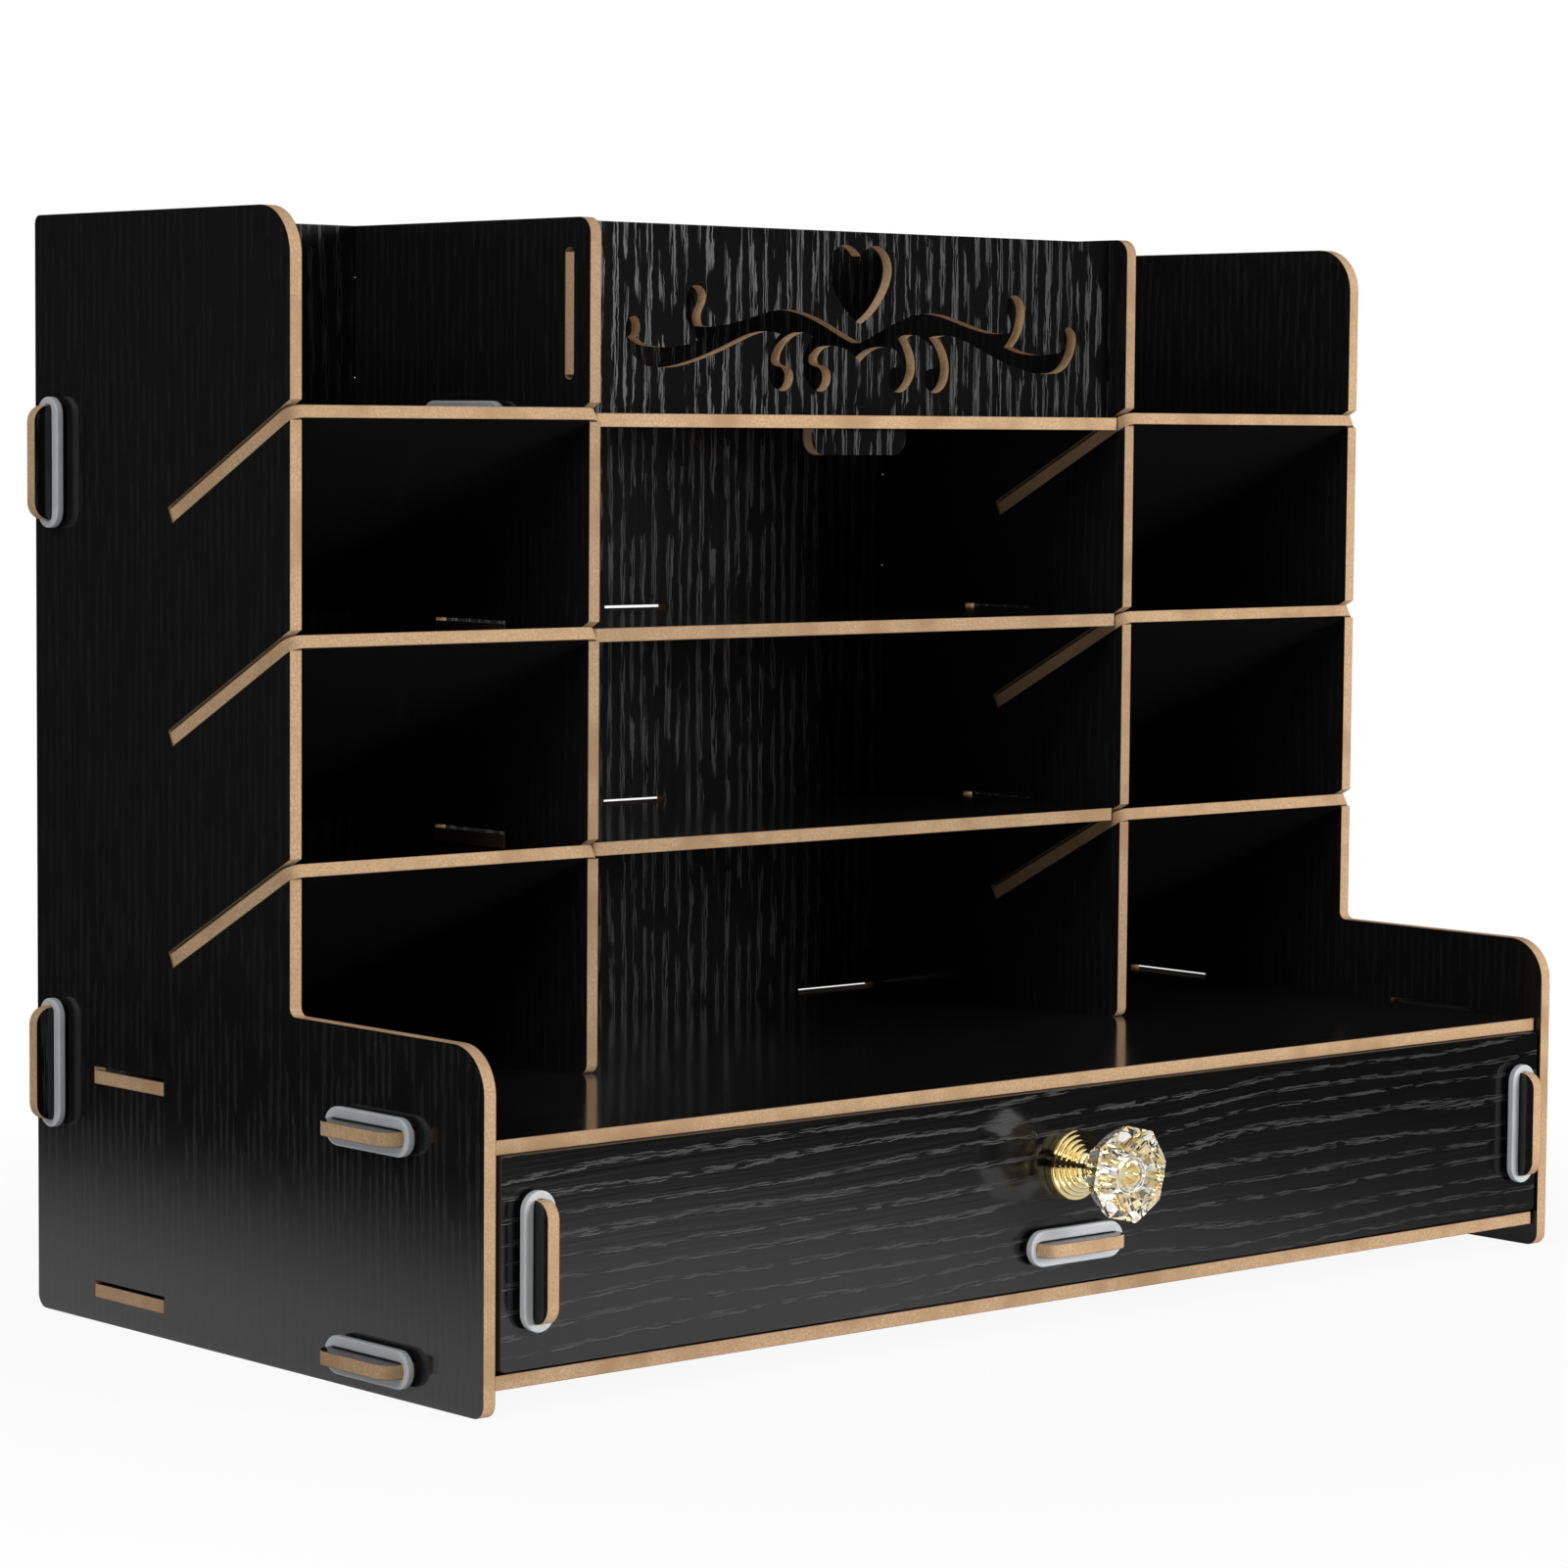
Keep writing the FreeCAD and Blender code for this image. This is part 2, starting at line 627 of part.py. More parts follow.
for n, top in enumerate(middle_tops):
    pieces["middle_shelf_%d" % (n + 1)] = middle_shelf(top, n == middle_count - 1)

# Origin on the floor, under the middle of the whole object's box
to_origin = Vector(0, (crystal_front - depth) / 2, 0)
for name, shape in pieces.items():
    shape.translate(to_origin)
    shape.exportStep(os.path.join(parts_folder, name + ".step"))
    print(name, len(shape.Solids), "solid", round(shape.Volume), "mm3", shape.isValid())
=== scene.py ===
# %% [markdown]
# # A flat-pack desk organizer in black grained board
# Slotted boards push into each other and are locked by tabs and oval snap rings; a wide drawer runs underneath.
# The boards' shapes come from the construction model, so this script dresses them, rebuilds the rings and
# the knob in finer detail, lets down the drawer front's lower edge, and sets up a plain white studio.

# %% Load the fixed frame
import math
import bmesh
import bpy
from mathutils import Matrix, Vector


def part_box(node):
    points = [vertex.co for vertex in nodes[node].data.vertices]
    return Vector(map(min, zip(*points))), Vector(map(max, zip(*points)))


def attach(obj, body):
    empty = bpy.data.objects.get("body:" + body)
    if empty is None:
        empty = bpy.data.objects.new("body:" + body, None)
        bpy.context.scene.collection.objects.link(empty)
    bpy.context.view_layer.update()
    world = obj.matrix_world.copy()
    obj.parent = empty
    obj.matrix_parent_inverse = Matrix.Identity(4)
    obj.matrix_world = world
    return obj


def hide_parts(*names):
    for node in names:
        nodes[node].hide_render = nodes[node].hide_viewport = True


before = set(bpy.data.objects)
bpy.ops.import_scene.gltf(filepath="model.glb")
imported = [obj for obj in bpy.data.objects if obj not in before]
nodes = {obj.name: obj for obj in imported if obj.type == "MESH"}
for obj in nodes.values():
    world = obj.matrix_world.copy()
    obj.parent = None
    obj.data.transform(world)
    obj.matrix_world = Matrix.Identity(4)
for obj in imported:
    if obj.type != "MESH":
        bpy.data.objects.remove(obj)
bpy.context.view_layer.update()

mm = 0.001

# %% [markdown]
# ## The camera
# The picture was taken with a long lens from the front left, a little under the top of the organizer.
# Its place was worked out from the edges of the boards, so every edge falls on the same spot in the picture.

# %% Camera
camera_place = (-0.98546, -1.07574, 0.26266)
heading, dip, roll = -41.5839, 4.3205, 0.4558  # degrees
camera_data = bpy.data.cameras.new("studio_camera")
camera_data.sensor_width = 36.0
camera_data.lens = 110.36
camera_data.clip_end = 50.0
camera = bpy.data.objects.new("studio_camera", camera_data)
camera.matrix_world = (Matrix.Translation(camera_place)
                       @ Matrix.Rotation(math.radians(heading), 4, "Z")
                       @ Matrix.Rotation(math.radians(90.0 - dip), 4, "X")
                       @ Matrix.Rotation(math.radians(roll), 4, "Z"))
bpy.context.scene.collection.objects.link(camera)
bpy.context.scene.camera = camera
bpy.context.scene.view_settings.view_transform = "Standard"
print("camera", [round(v, 3) for v in camera.matrix_world.translation])

# %% [markdown]
# ## Node helpers
# Each finish below is a small graph. A few helpers keep the cells short: they add a node and set or link its
# inputs, do arithmetic, turn a range of values into 0 to 1, blend two colours, and start a new finish.


# %% Node helpers
def put(tree, kind, inputs=None, **settings):
    """Adds a node; an input may be a plain value or another node's output."""
    made = tree.nodes.new(kind)
    for key, value in settings.items():
        setattr(made, key, value)
    for key, value in (inputs or {}).items():
        if isinstance(value, bpy.types.NodeSocket):
            tree.links.new(value, made.inputs[key])
        else:
            made.inputs[key].default_value = value
    return made


def sums(tree, operation, *values):
    """One arithmetic step."""
    return put(tree, "ShaderNodeMath", dict(enumerate(values)), operation=operation).outputs[0]


def fade(tree, value, low, high):
    """0 below low, 1 above high, smooth between."""
    made = put(tree, "ShaderNodeMapRange", {0: value, 1: low, 2: high, 3: 0.0, 4: 1.0})
    made.interpolation_type = "SMOOTHSTEP"
    return made.outputs[0]


def colour_mix(tree, share, low, high):
    """Blends two colours."""
    made = put(tree, "ShaderNodeMix", data_type="RGBA")
    for socket, value in ((made.inputs[0], share), (made.inputs[6], low), (made.inputs[7], high)):
        if isinstance(value, bpy.types.NodeSocket):
            tree.links.new(value, socket)
        else:
            socket.default_value = value
    return made.outputs[2]


def new_finish(name):
    """An empty material with its shader and output."""
    finish = bpy.data.materials.new(name)
    finish.use_nodes = True
    tree = finish.node_tree
    shader = next(n for n in tree.nodes if n.type == "BSDF_PRINCIPLED")
    return finish, tree, shader


print("helpers ready")

# %% [markdown]
# ## The studio
# The organizer stands on a white sheet. Mirrors see a painted pool of light on it close round the organizer, which
# falls off into a dark room. That is why the black boards are grey at the bottom, where they mirror the glowing
# sheet, and black above. The floor and the world are white to the camera and through glass, but for a faint shadow
# close to the organizer. The painted pool fades away on every side, soonest to the right and last at the back.

# %% World
room_light = 0.18
world = bpy.data.worlds.new("white_studio")
bpy.context.scene.world = world
world.use_nodes = True
tree = world.node_tree
background = next(n for n in tree.nodes if n.type == "BACKGROUND")
path = put(tree, "ShaderNodeLightPath")
seen = sums(tree, "MAXIMUM", path.outputs["Is Camera Ray"],
            sums(tree, "MAXIMUM", path.outputs["Is Glossy Ray"], path.outputs["Is Transmission Ray"]))
background.inputs["Color"].default_value = (1.0, 1.0, 1.0, 1.0)
tree.links.new(put(tree, "ShaderNodeMapRange", {0: seen, 1: 0.0, 2: 1.0, 3: room_light, 4: 1.0}).outputs[0],
               background.inputs["Strength"])
print("world ready")

# %% Floor
floor_mesh = bpy.data.meshes.new("table_top")
reach = 6.0
floor_mesh.from_pydata([(-reach, -reach, 0), (reach, -reach, 0), (reach, reach, 0), (-reach, reach, 0)],
                       [], [(0, 1, 2, 3)])
floor = bpy.data.objects.new("table_top", floor_mesh)
bpy.context.scene.collection.objects.link(floor)
finish, tree, shader = new_finish("white_table")
shader.inputs["Base Color"].default_value = (0.86, 0.86, 0.86, 1.0)
shader.inputs["Roughness"].default_value = 0.9
path = put(tree, "ShaderNodeLightPath")
spot = put(tree, "ShaderNodeSeparateXYZ", {0: put(tree, "ShaderNodeTexCoord").outputs["Object"]})
x, y = spot.outputs[0], spot.outputs[1]
# Where mirrors lose the sheet: along x or y, from here, to there, and the share that is lost
sheet_fades = ((x, -0.06, 0.32, 0.88), (x, 0.30, 0.50, 1.0), (y, -0.20, -0.50, 1.0),
               (x, -0.20, -0.23, 0.22), (x, -0.24, -0.46, 1.0), (y, 0.36, 0.80, 1.0))
# The sheet's glow for mirrors is a painted pool of light, dimmed in each of these places
painted_light_pool = 1.0
for value, low, high, loss in sheet_fades:
    painted_light_pool = sums(tree, "MULTIPLY", painted_light_pool, sums(tree, "MULTIPLY_ADD", fade(tree, value, low, high), -loss, 1.0))
# Close to the organizer the camera sees a share of the lit floor, which carries the shadow
shadow_share, shadow_near, shadow_far = 0.08, 0.24, 0.50
flat = put(tree, "ShaderNodeCombineXYZ", {0: x, 1: y}).outputs[0]
away = fade(tree, put(tree, "ShaderNodeVectorMath", {0: flat}, operation="LENGTH").outputs["Value"],
            shadow_near, shadow_far)
mirrored = path.outputs["Is Glossy Ray"]
strength = sums(tree, "SUBTRACT", 1.0, sums(tree, "MULTIPLY", mirrored, sums(tree, "SUBTRACT", 1.0, painted_light_pool)))
glow = put(tree, "ShaderNodeEmission", {"Color": (1.0, 1.0, 1.0, 1.0), "Strength": strength})
straight = sums(tree, "MULTIPLY", path.outputs["Is Camera Ray"],
                sums(tree, "MULTIPLY_ADD", away, shadow_share, 1.0 - shadow_share))
share = sums(tree, "MAXIMUM", straight, sums(tree, "MAXIMUM", mirrored, path.outputs["Is Transmission Ray"]))
both = put(tree, "ShaderNodeMixShader", {0: share, 1: shader.outputs[0], 2: glow.outputs[0]})
out = next(n for n in tree.nodes if n.type == "OUTPUT_MATERIAL")
tree.links.new(both.outputs[0], out.inputs["Surface"])
floor_mesh.materials.append(finish)
print("floor ready")

# %% [markdown]
# ## Screens and lamps
# Low dark screens, which only mirrors see, stand round the sheet in place of the dark room. The main soft box
# stands low at the front right, so it reaches into the middle bays and leaves the back panel behind the ornament
# dark. A low fill from the right doesn't show in mirrors. A lamp at the left lights the rings and the tab ends on
# that side, and a weak one hangs above.


# %% Dark screens
def stage_wall(name, start, end, height, finish):
    """An upright screen on the floor between two points, seen by mirrors alone."""
    mesh = bpy.data.meshes.new(name)
    mesh.from_pydata([(*start, 0), (*end, 0), (*end, height), (*start, height)], [], [(0, 1, 2, 3)])
    mesh.materials.append(finish)
    wall = bpy.data.objects.new(name, mesh)
    bpy.context.scene.collection.objects.link(wall)
    wall.visible_camera = False
    wall.visible_diffuse = False
    wall.visible_transmission = False
    wall.visible_shadow = False


screen_finish, tree, shader = new_finish("dark_screen")
shader.inputs["Base Color"].default_value = (0.01, 0.01, 0.01, 1.0)
shader.inputs["Roughness"].default_value = 1.0
left, right, front, rear, screen_height = -0.85, 0.50, -0.85, 0.75, 0.62
stage_wall("screen_left", (left, front), (left, rear), screen_height, screen_finish)
stage_wall("screen_right", (right, rear), (right, front), screen_height, screen_finish)
stage_wall("screen_rear", (left, rear), (right, rear), screen_height, screen_finish)
stage_wall("screen_front", (right, front), (left, front), screen_height, screen_finish)
print("screens ready")


# %% Lamps
def soft_lamp(name, place, target, size, watts):
    """A square soft box aimed at a point."""
    data = bpy.data.lights.new(name, "AREA")
    data.shape = "SQUARE"
    data.size = size
    data.energy = watts
    lamp = bpy.data.objects.new(name, data)
    lamp.location = place
    lamp.rotation_euler = (Vector(target) - Vector(place)).to_track_quat("-Z", "Y").to_euler()
    bpy.context.scene.collection.objects.link(lamp)
    return lamp


soft_lamp("front_soft_box", (0.80, -1.75, 0.50), (0.0, 0.0, 0.17), 0.6, 23.0)
low_fill = soft_lamp("low_right_soft_box", (1.3, -1.6, 0.22), (0.0, 0.0, 0.18), 0.5, 10.5)
low_fill.visible_glossy = False
soft_lamp("top_soft_box", (-0.3, -0.2, 2.2), (0.0, 0.0, 0.1), 1.2, 4.0)
soft_lamp("left_soft_box", (-1.9, -0.5, 1.3), (0.0, 0.0, 0.15), 0.9, 16.0)
print("lamps ready")

# %% [markdown]
# ## Black grained board
# The boards are 4 mm fibreboard with a black film that is pressed with a wood pattern: columns of short, narrow,
# matt grooves along the grain. Their cut edges are raw and tan. One graph serves every board: distances across
# the grain, along it and through the thickness are worked out from the object's coordinates, so the pattern can
# run upright, level or down a slope. The direction of the surface tells the film from the cut edge.
#
# Each kind of board sets the tones of its film and grooves, how narrow (fineness) and how short (length) the
# grooves are, how many columns there are to the metre (pitch), how narrow these are (cover), how often they break
# off (breaks), how they bend (sway, ripple), how deep and matt the grooves are (relief), how rough the film is
# (gloss), and how much darker the cut edges are (darker_edge_and_painted_shade, painted_end_shade). That darkening
# is painted shade, apart from the drawer front's nearly black cut edges.

# %% Values shared by all boards
fibre_dark, fibre_pale = (0.45, 0.275, 0.143, 1.0), (0.65, 0.44, 0.258, 1.0)
# The dark brown that the film line, the drawer front's dark edges and the painted shade on cut edges blend towards
fibre_stain, dark_edge_and_shade_colour = (0.42, 0.255, 0.13, 1.0), (0.03, 0.022, 0.016, 1.0)
film_starts, film_full, film_line_shade = 1.78 * mm, 1.92 * mm, 0.75
wiggle_width, groove_depth, film_texture, fibre_height = 0.8 * mm, 0.06 * mm, 0.028 * mm, 0.05 * mm
raw_roughness, groove_roughness, board_ior = 0.85, 0.30, 1.5
column_blur, groove_low, groove_high, break_blur = 0.25, 0.485, 0.515, 0.04
print("board values ready")


# %% Board finish
def board_finish(name, node, thickness, grain, seed, film=0.0075, groove=0.009, fineness=2400.0, length=90.0,
                 relief=0.10, sway=0.006, ripple=190.0, pitch=205.0, cover=0.05, breaks=0.42,
                 gloss=0.08, darker_edge_and_painted_shade=0.0, painted_end_shade=0.0):
    """Film with pressed grain on the broad faces of a board, raw fibreboard on its cut edges."""
    thickness, grain = Vector(thickness).normalized(), Vector(grain).normalized()
    across = thickness.cross(grain)
    low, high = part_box(node)
    middle = thickness.dot((low + high) / 2)
    finish, tree, shader = new_finish(name)
    place = put(tree, "ShaderNodeTexCoord")

    def along(direction):
        return put(tree, "ShaderNodeVectorMath", {0: place.outputs["Object"], 1: direction},
                   operation="DOT_PRODUCT").outputs["Value"]

    def noise(a, b, c, detail, roughness=0.5):
        spot = put(tree, "ShaderNodeCombineXYZ", {0: a, 1: b, 2: c}).outputs[0]
        return put(tree, "ShaderNodeTexNoise", {"Vector": spot, "Scale": 1.0, "Detail": detail,
                                                "Roughness": roughness}).outputs["Fac"]

    def times(value, factor, add=0.0):
        return put(tree, "ShaderNodeMath", {0: value, 1: factor, 2: add}, operation="MULTIPLY_ADD").outputs[0]

    # Each noise is given its cells to the metre across the grain, along it and through the board
    side, run, deep = along(across), along(grain), along(thickness)
    wander = noise(times(side, 14.0), times(run, 5.0), times(deep, 90.0, seed), 1.0)
    wiggle = noise(times(side, 420.0), times(run, ripple), times(deep, 300.0, seed), 1.0)
    bent = sums(tree, "ADD", sums(tree, "ADD", side, times(wander, sway)), times(wiggle, wiggle_width))
    # Columns of grooves, and the grooves in them, under a millimetre wide and about a centimetre long
    drift = noise(times(side, 70.0), times(run, 8.0), times(deep, 400.0, seed), 1.0)
    wave = sums(tree, "SINE", sums(tree, "ADD", times(bent, 2 * math.pi * pitch), times(drift, 11.0)))
    columns = fade(tree, wave, cover, cover + column_blur)
    grooves = fade(tree, noise(times(bent, fineness), times(run, length), times(deep, 900.0, seed), 0.0),
                   groove_low, groove_high)
    gaps = fade(tree, noise(times(bent, 230.0), times(run, 0.5 * length), times(deep, 500.0, seed), 1.0),
                breaks - break_blur, breaks + break_blur)
    streak = sums(tree, "MULTIPLY", columns, sums(tree, "MULTIPLY", grooves, gaps))
    matt = sums(tree, "MULTIPLY", streak, relief)
    fine = noise(times(bent, 900.0), times(run, 16.0), times(deep, 700.0, seed), 2.0)

    # Raw fibreboard: fine fibres, broad stains, and the thin black film showing at both faces
    fibres = put(tree, "ShaderNodeTexNoise", {"Vector": place.outputs["Object"], "Scale": 1500.0, "Detail": 3.0,
                                              "Roughness": 0.7}).outputs["Fac"]
    stains = put(tree, "ShaderNodeTexNoise", {"Vector": place.outputs["Object"], "Scale": 60.0, "Detail": 3.0}
                 ).outputs["Fac"]
    raw = colour_mix(tree, fade(tree, fibres, 0.30, 0.72), fibre_dark, fibre_pale)
    raw = colour_mix(tree, fade(tree, stains, 0.42, 0.75), raw, fibre_stain)
    from_middle = sums(tree, "ABSOLUTE", sums(tree, "SUBTRACT", deep, middle))
    film_line = fade(tree, from_middle, film_starts, film_full)
    film_colour = colour_mix(tree, streak, (film, film, 1.04 * film, 1.0), (groove, groove, groove, 1.0))
    # The edge value darkens the cut edges: painted shade on most boards, nearly black edges on the drawer front. The
    # end value paints shade on the ends along the grain.
    ends = sums(tree, "ABSOLUTE", put(tree, "ShaderNodeVectorMath", {0: place.outputs["Normal"], 1: grain},
                                      operation="DOT_PRODUCT").outputs["Value"])
    shade = sums(tree, "MAXIMUM", darker_edge_and_painted_shade, sums(tree, "MULTIPLY", fade(tree, ends, 0.7, 0.9), painted_end_shade))
    shade = sums(tree, "MAXIMUM", shade, sums(tree, "MULTIPLY", film_line, film_line_shade))
    raw = colour_mix(tree, shade, raw, dark_edge_and_shade_colour)

    facing = sums(tree, "ABSOLUTE", put(tree, "ShaderNodeVectorMath", {0: place.outputs["Normal"], 1: thickness},
                                        operation="DOT_PRODUCT").outputs["Value"])
    on_face = sums(tree, "GREATER_THAN", facing, 0.8)
    tree.links.new(colour_mix(tree, on_face, raw, film_colour), shader.inputs["Base Color"])
    film_rough = sums(tree, "ADD", times(fine, gloss, gloss), times(matt, groove_roughness))
    rough = put(tree, "ShaderNodeMix", {0: on_face, 2: raw_roughness, 3: film_rough}).outputs[0]
    tree.links.new(rough, shader.inputs["Roughness"])
    shader.inputs["IOR"].default_value = board_ior
    height = sums(tree, "ADD", times(streak, -groove_depth * relief), times(fine, film_texture * relief))
    height = put(tree, "ShaderNodeMix", {0: on_face, 2: times(fibres, fibre_height), 3: height}).outputs[0]
    bump = put(tree, "ShaderNodeBump", {"Strength": 0.7, "Distance": 1.0, "Height": height})
    tree.links.new(bump.outputs[0], shader.inputs["Normal"])
    return finish


print("board finish ready")


# %% Boards
def dress(node, finish):
    """Gives a construction node its finish."""
    nodes[node].data.materials.clear()
    nodes[node].data.materials.append(finish)


east, north, up = (1, 0, 0), (0, 1, 0), (0, 0, 1)
level_grain, front_grain = (1, 0.03, 0), (1, 0, 0.03)
slope_turn = math.radians(27.5)
slope_up = (0, math.sin(slope_turn), math.cos(slope_turn))
slope_shelves = ["slope_shelf_%s_%d" % (side, n) for side in ("left", "right") for n in (1, 2, 3)]
# Painted shade on cut edges: most on the dividers and the middle shelves in the bays, a little on the sides, deck,
# base and slope shelves, and painted shade on the middle shelves' tab ends inside the side bays. The drawer front's
# cut edges are made nearly black.
board_kinds = [
    (("side_left", "side_right"), east, up,
     dict(groove=0.013, fineness=2400.0, length=85.0, relief=0.25, sway=0.002, pitch=290.0, darker_edge_and_painted_shade=0.04)),
    (("divider_left", "divider_right"), east, up,
     dict(groove=0.013, fineness=2400.0, length=85.0, relief=0.25, sway=0.003, pitch=290.0, darker_edge_and_painted_shade=0.24)),
    (("ornament_panel",), north, up,
     dict(film=0.0045, groove=0.043, gloss=0.04, fineness=2900.0, length=110.0, relief=0.6, sway=0.003, ripple=480.0,
          cover=-0.1)),
    (("back_panel",), north, up,
     dict(film=0.0055, groove=0.027, gloss=0.07, fineness=2700.0, length=90.0, relief=0.4, sway=0.003, ripple=480.0)),
    (("drawer_front",), north, front_grain,
     dict(film=0.004, groove=0.015, fineness=2900.0, length=130.0, relief=1.3, sway=0.010, ripple=480.0, pitch=165.0,
          cover=0.60, breaks=0.30, darker_edge_and_painted_shade=0.9)),
    (("deck", "base_board"), up, level_grain, dict(film=0.008, groove=0.013, darker_edge_and_painted_shade=0.08)),
    (("middle_shelf_1", "middle_shelf_2"), up, level_grain, dict(darker_edge_and_painted_shade=0.20, painted_end_shade=0.95)),
    (("middle_shelf_3", "drawer_floor"), up, level_grain, dict()),
    (("drawer_side_left", "drawer_side_right"), east, north,
     dict(groove=0.012, fineness=2000.0, length=60.0, relief=0.3, sway=0.004)),
    (("drawer_back",), north, east, dict(groove=0.012, fineness=2000.0, length=60.0, relief=0.3, sway=0.004)),
    (slope_shelves, slope_up, east, dict(groove=0.008, fineness=2000.0, length=60.0, darker_edge_and_painted_shade=0.05))]
seed_step, count = 3.7, 0
for names, thickness, grain, details in board_kinds:
    for node in names:
        dress(node, board_finish("board_" + node, node, thickness, grain, seed_step * count, **details))
        count += 1
print("boards dressed", count)

# %% [markdown]
# ## Snap rings
# Thirteen equal rings of pale, slightly see-through plastic lock the tabs. One ring is a band between two rounded
# outlines, swept round a small rounded section. A node tree builds it once, and sets a copy on each tab.


# %% Ring finish
ring_finish, tree, shader = new_finish("ring_plastic")
place = put(tree, "ShaderNodeTexCoord")
cloud = put(tree, "ShaderNodeTexNoise", {"Vector": place.outputs["Object"], "Scale": 180.0, "Detail": 2.0}
            ).outputs["Fac"]
dark_ring, pale_ring = (0.51, 0.535, 0.555, 1.0), (0.62, 0.64, 0.65, 1.0)
tree.links.new(colour_mix(tree, cloud, dark_ring, pale_ring), shader.inputs["Base Color"])
tree.links.new(put(tree, "ShaderNodeMapRange", {0: cloud, 1: 0.0, 2: 1.0, 3: 0.30, 4: 0.48}).outputs[0],
               shader.inputs["Roughness"])
shader.inputs["Subsurface Weight"].default_value = 0.35
shader.inputs["Subsurface Radius"].default_value = (1.0, 1.0, 1.0)
shader.inputs["Subsurface Scale"].default_value = 1.5 * mm
print("ring plastic ready")


# %% Ring tree
def ring_tree():
    """Builds the node tree: two outlines, a section swept between them, and a copy at each point."""
    tree = bpy.data.node_groups.new("snap_ring", "GeometryNodeTree")
    face = tree.interface
    face.new_socket("Geometry", in_out="INPUT", socket_type="NodeSocketGeometry")
    for label in ("Ring length", "Ring width", "Thickness", "Hole length", "Hole width", "Edge round"):
        face.new_socket(label, in_out="INPUT", socket_type="NodeSocketFloat")
    face.new_socket("Finish", in_out="INPUT", socket_type="NodeSocketMaterial")
    face.new_socket("Geometry", in_out="OUTPUT", socket_type="NodeSocketGeometry")
    given = tree.nodes.new("NodeGroupInput").outputs

    def outline(length, width, radius, count):
        box = put(tree, "GeometryNodeCurvePrimitiveQuadrilateral", {"Width": length, "Height": width})
        return put(tree, "GeometryNodeFilletCurve", {"Curve": box.outputs[0], "Count": count, "Radius": radius,
                                                     "Limit Radius": True}, mode="POLY").outputs[0]

    def spot_on(curve, share):
        return put(tree, "GeometryNodeSampleCurve", {"Curves": curve, "Factor": share}, mode="FACTOR"
                   ).outputs["Position"]

    wall, end_share, hole_share = 3.0 * mm, 0.499, 0.40
    end_steps, edge_steps, points_round, points_over = 12, 4, 121, 33
    outer = outline(given["Ring length"], given["Ring width"],
                    sums(tree, "MULTIPLY", given["Ring width"], end_share), end_steps)
    inner = outline(given["Hole length"], given["Hole width"],
                    sums(tree, "MULTIPLY", given["Hole width"], hole_share), end_steps)
    section = outline(wall, given["Thickness"], given["Edge round"], edge_steps)
    grid = put(tree, "GeometryNodeMeshGrid", {"Size X": 1.0, "Size Y": 1.0, "Vertices X": points_round,
                                              "Vertices Y": points_over})
    spot = put(tree, "ShaderNodeSeparateXYZ", {0: put(tree, "GeometryNodeInputPosition").outputs[0]})
    around = sums(tree, "ADD", spot.outputs[0], 0.5)
    over = put(tree, "ShaderNodeSeparateXYZ", {0: spot_on(section, sums(tree, "ADD", spot.outputs[1], 0.5))})
    share = sums(tree, "ADD", sums(tree, "DIVIDE", over.outputs[0], wall), 0.5)
    lift = sums(tree, "ADD", over.outputs[1], sums(tree, "MULTIPLY", given["Thickness"], 0.5))
    flat = put(tree, "ShaderNodeMix", {0: share, 4: spot_on(inner, around), 5: spot_on(outer, around)},
               data_type="VECTOR").outputs[1]
    raised = put(tree, "ShaderNodeVectorMath", {0: flat, 1: put(tree, "ShaderNodeCombineXYZ", {2: lift}).outputs[0]},
                 operation="ADD").outputs[0]
    band = put(tree, "GeometryNodeSetPosition", {"Geometry": grid.outputs[0], "Position": raised})
    band = put(tree, "GeometryNodeMergeByDistance", {"Geometry": band.outputs[0], "Distance": 0.01 * mm})
    band = put(tree, "GeometryNodeSetShadeSmooth", {"Geometry": band.outputs[0], "Shade Smooth": True})
    turn = put(tree, "GeometryNodeInputNamedAttribute", {"Name": "ring_turn"}, data_type="FLOAT_VECTOR")
    turned = put(tree, "FunctionNodeEulerToRotation", {0: turn.outputs[0]})
    copies = put(tree, "GeometryNodeInstanceOnPoints", {"Points": given["Geometry"], "Instance": band.outputs[0],
                                                        "Rotation": turned.outputs[0]})
    solid = put(tree, "GeometryNodeRealizeInstances", {"Geometry": copies.outputs[0]})
    coated = put(tree, "GeometryNodeSetMaterial", {"Geometry": solid.outputs[0], "Material": given["Finish"]})
    tree.links.new(coated.outputs[0], tree.nodes.new("NodeGroupOutput").inputs[0])
    return tree


snap_ring = ring_tree()
print("ring tree nodes", len(snap_ring.nodes))


# %% Rings on their tabs
def baked_rings(name, places, tree, sizes, finish):
    """Runs the tree on points that carry each ring's turn, and keeps the result as a plain mesh."""
    points = bpy.data.meshes.new(name + "_points")
    points.from_pydata([spot for spot, turn in places], [], [])
    turns = points.attributes.new("ring_turn", "FLOAT_VECTOR", "POINT")
    for n, (spot, turn) in enumerate(places):
        turns.data[n].vector = turn
    maker = bpy.data.objects.new(name + "_maker", points)
    bpy.context.scene.collection.objects.link(maker)
    modifier = maker.modifiers.new("rings", "NODES")
    modifier.node_group = tree
    sockets = {item.name: item.identifier for item in tree.interface.items_tree if item.in_out == "INPUT"}
    for label, value in list(sizes.items()) + [("Finish", finish)]:
        modifier[sockets[label]] = value
    bpy.context.view_layer.update()
    solid = bpy.data.meshes.new_from_object(maker.evaluated_get(bpy.context.evaluated_depsgraph_get()))
    solid.name = name
    bpy.data.objects.remove(maker)
    work = bmesh.new()
    work.from_mesh(solid)
    bmesh.ops.recalc_face_normals(work, faces=work.faces)
    work.to_mesh(solid)
    work.free()
    made = bpy.data.objects.new(name, solid)
    bpy.context.scene.collection.objects.link(made)
    return made


